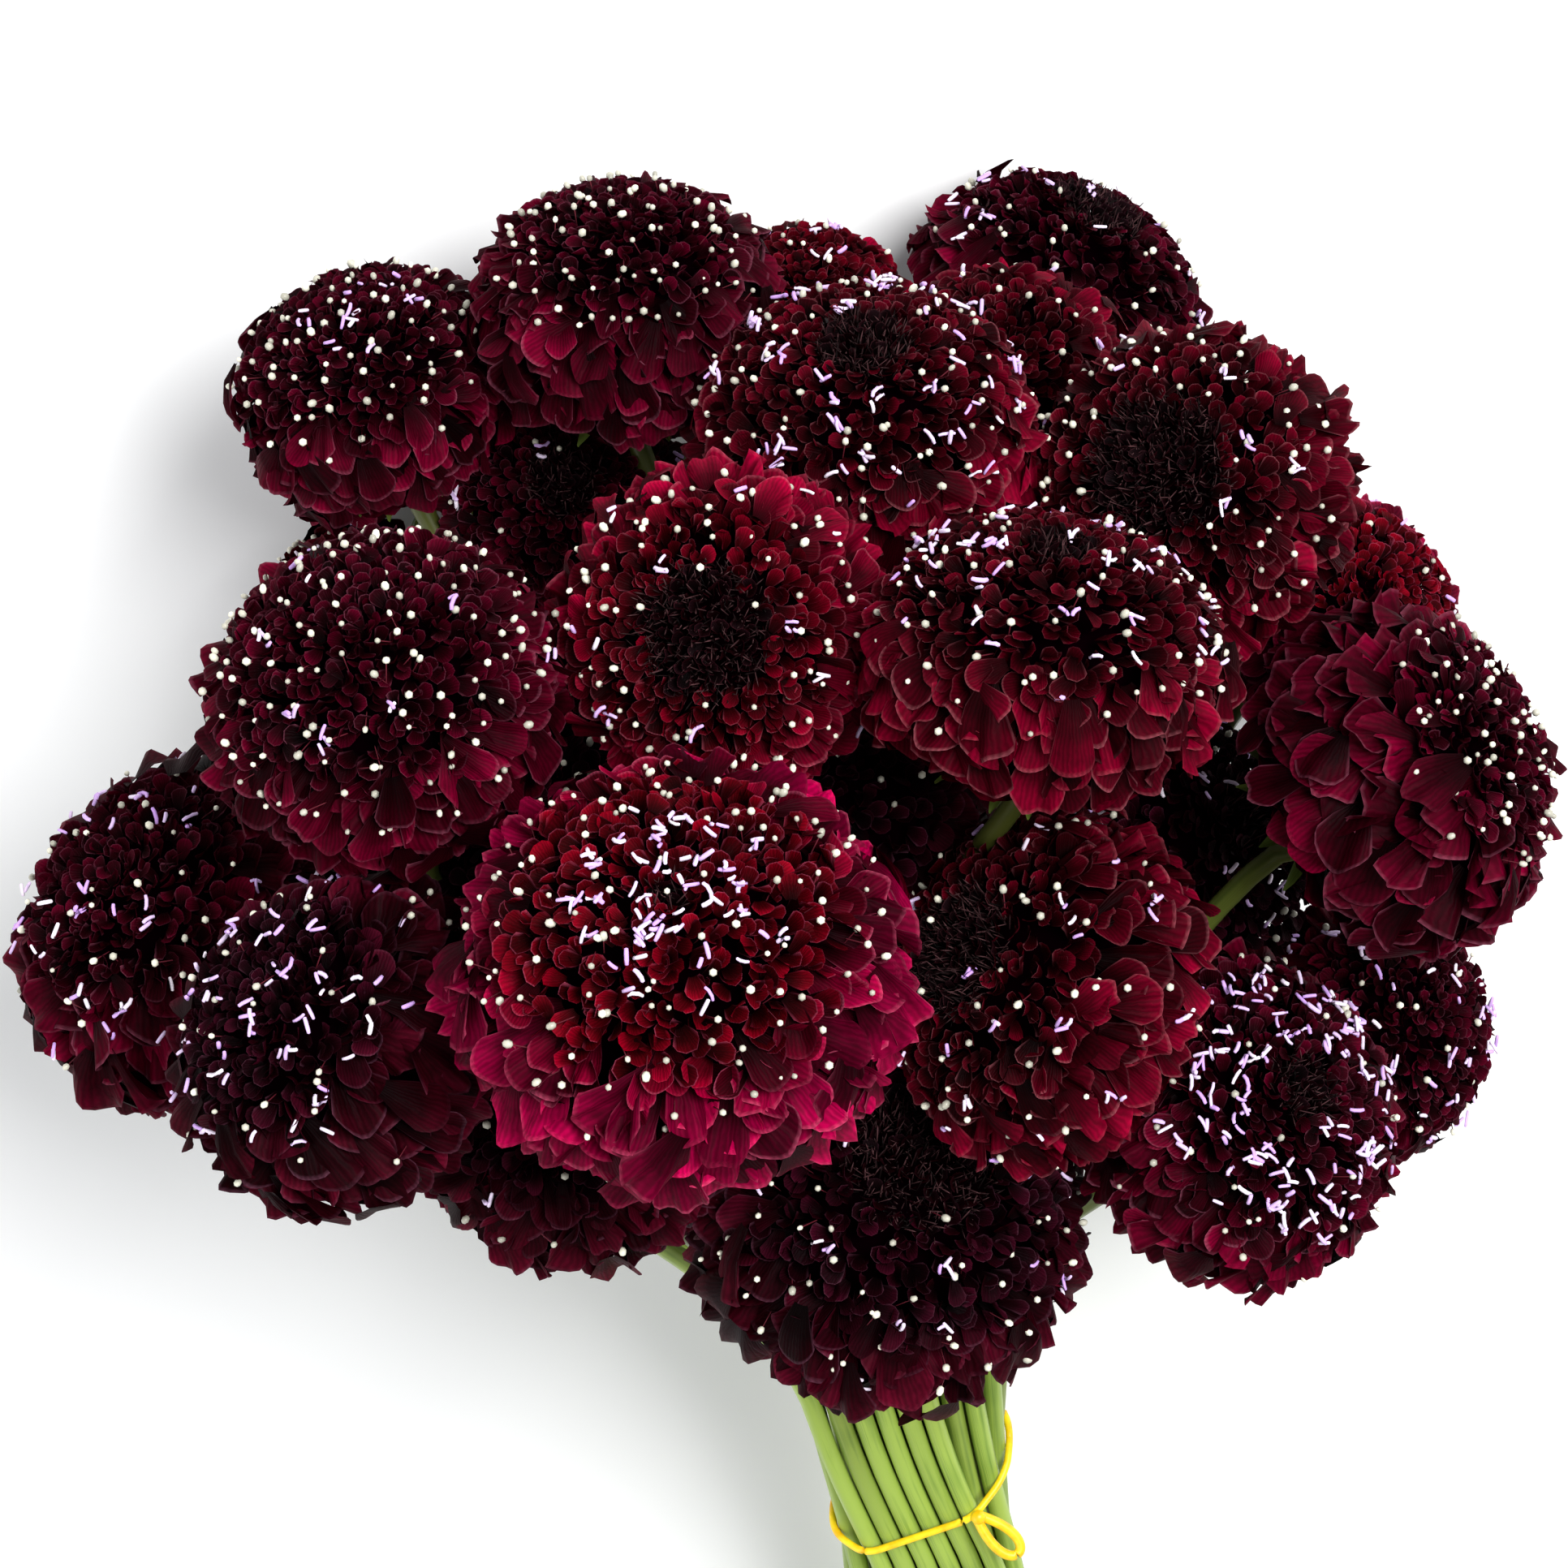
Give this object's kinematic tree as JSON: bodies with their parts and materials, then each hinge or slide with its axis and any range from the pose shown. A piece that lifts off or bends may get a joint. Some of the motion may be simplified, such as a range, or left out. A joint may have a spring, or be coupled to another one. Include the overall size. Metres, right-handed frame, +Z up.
{
  "type": "bunch of cut scabiosa flowers",
  "caption": "Hand-tied bunch of double dark scabiosas with globe-shaped heads on thin stems, held by an elastic tie and lying on its side.",
  "frame": {"origin": "middle of the bunch's bounding box, on the surface that it lies on", "axes": "+Y from the cut ends to the blooms, +Z up from the surface, +X to the right for someone who looks down on the front"},
  "size_m": [0.2915, 0.5193, 0.2437],
  "materials": {
    "petals": "velvety dark burgundy petals",
    "stem": "smooth fresh green stem",
    "elastic": "matt yellow elastic"
  },
  "bodies": {
    "root": {"bloom_01": "petals", "bloom_02": "petals", "bloom_03": "petals", "bloom_04": "petals", "bloom_05": "petals", "bloom_06": "petals", "bloom_07": "petals", "bloom_08": "petals", "bloom_09": "petals", "bloom_10": "petals", "bloom_11": "petals", "bloom_12": "petals", "bloom_13": "petals", "bloom_14": "petals", "bloom_15": "petals", "bloom_16": "petals", "bloom_17": "petals", "bloom_18": "petals", "bloom_19": "petals", "bloom_20": "petals", "bloom_21": "petals", "bloom_22": "petals", "bloom_23": "petals", "bloom_24": "petals", "bloom_25": "petals", "bloom_26": "petals", "bloom_27": "petals", "bloom_28": "petals", "bloom_29": "petals", "stem_01": "stem", "stem_02": "stem", "stem_03": "stem", "stem_04": "stem", "stem_05": "stem", "stem_06": "stem", "stem_07": "stem", "stem_08": "stem", "stem_09": "stem", "stem_10": "stem", "stem_11": "stem", "stem_12": "stem", "stem_13": "stem", "stem_14": "stem", "stem_15": "stem", "stem_16": "stem", "stem_17": "stem", "stem_18": "stem", "stem_19": "stem", "stem_20": "stem", "stem_21": "stem", "stem_22": "stem", "stem_23": "stem", "stem_24": "stem", "stem_25": "stem", "stem_26": "stem", "stem_27": "stem", "stem_28": "stem", "stem_29": "stem", "elastic_tie": "elastic"}
  },
  "joints": []
}
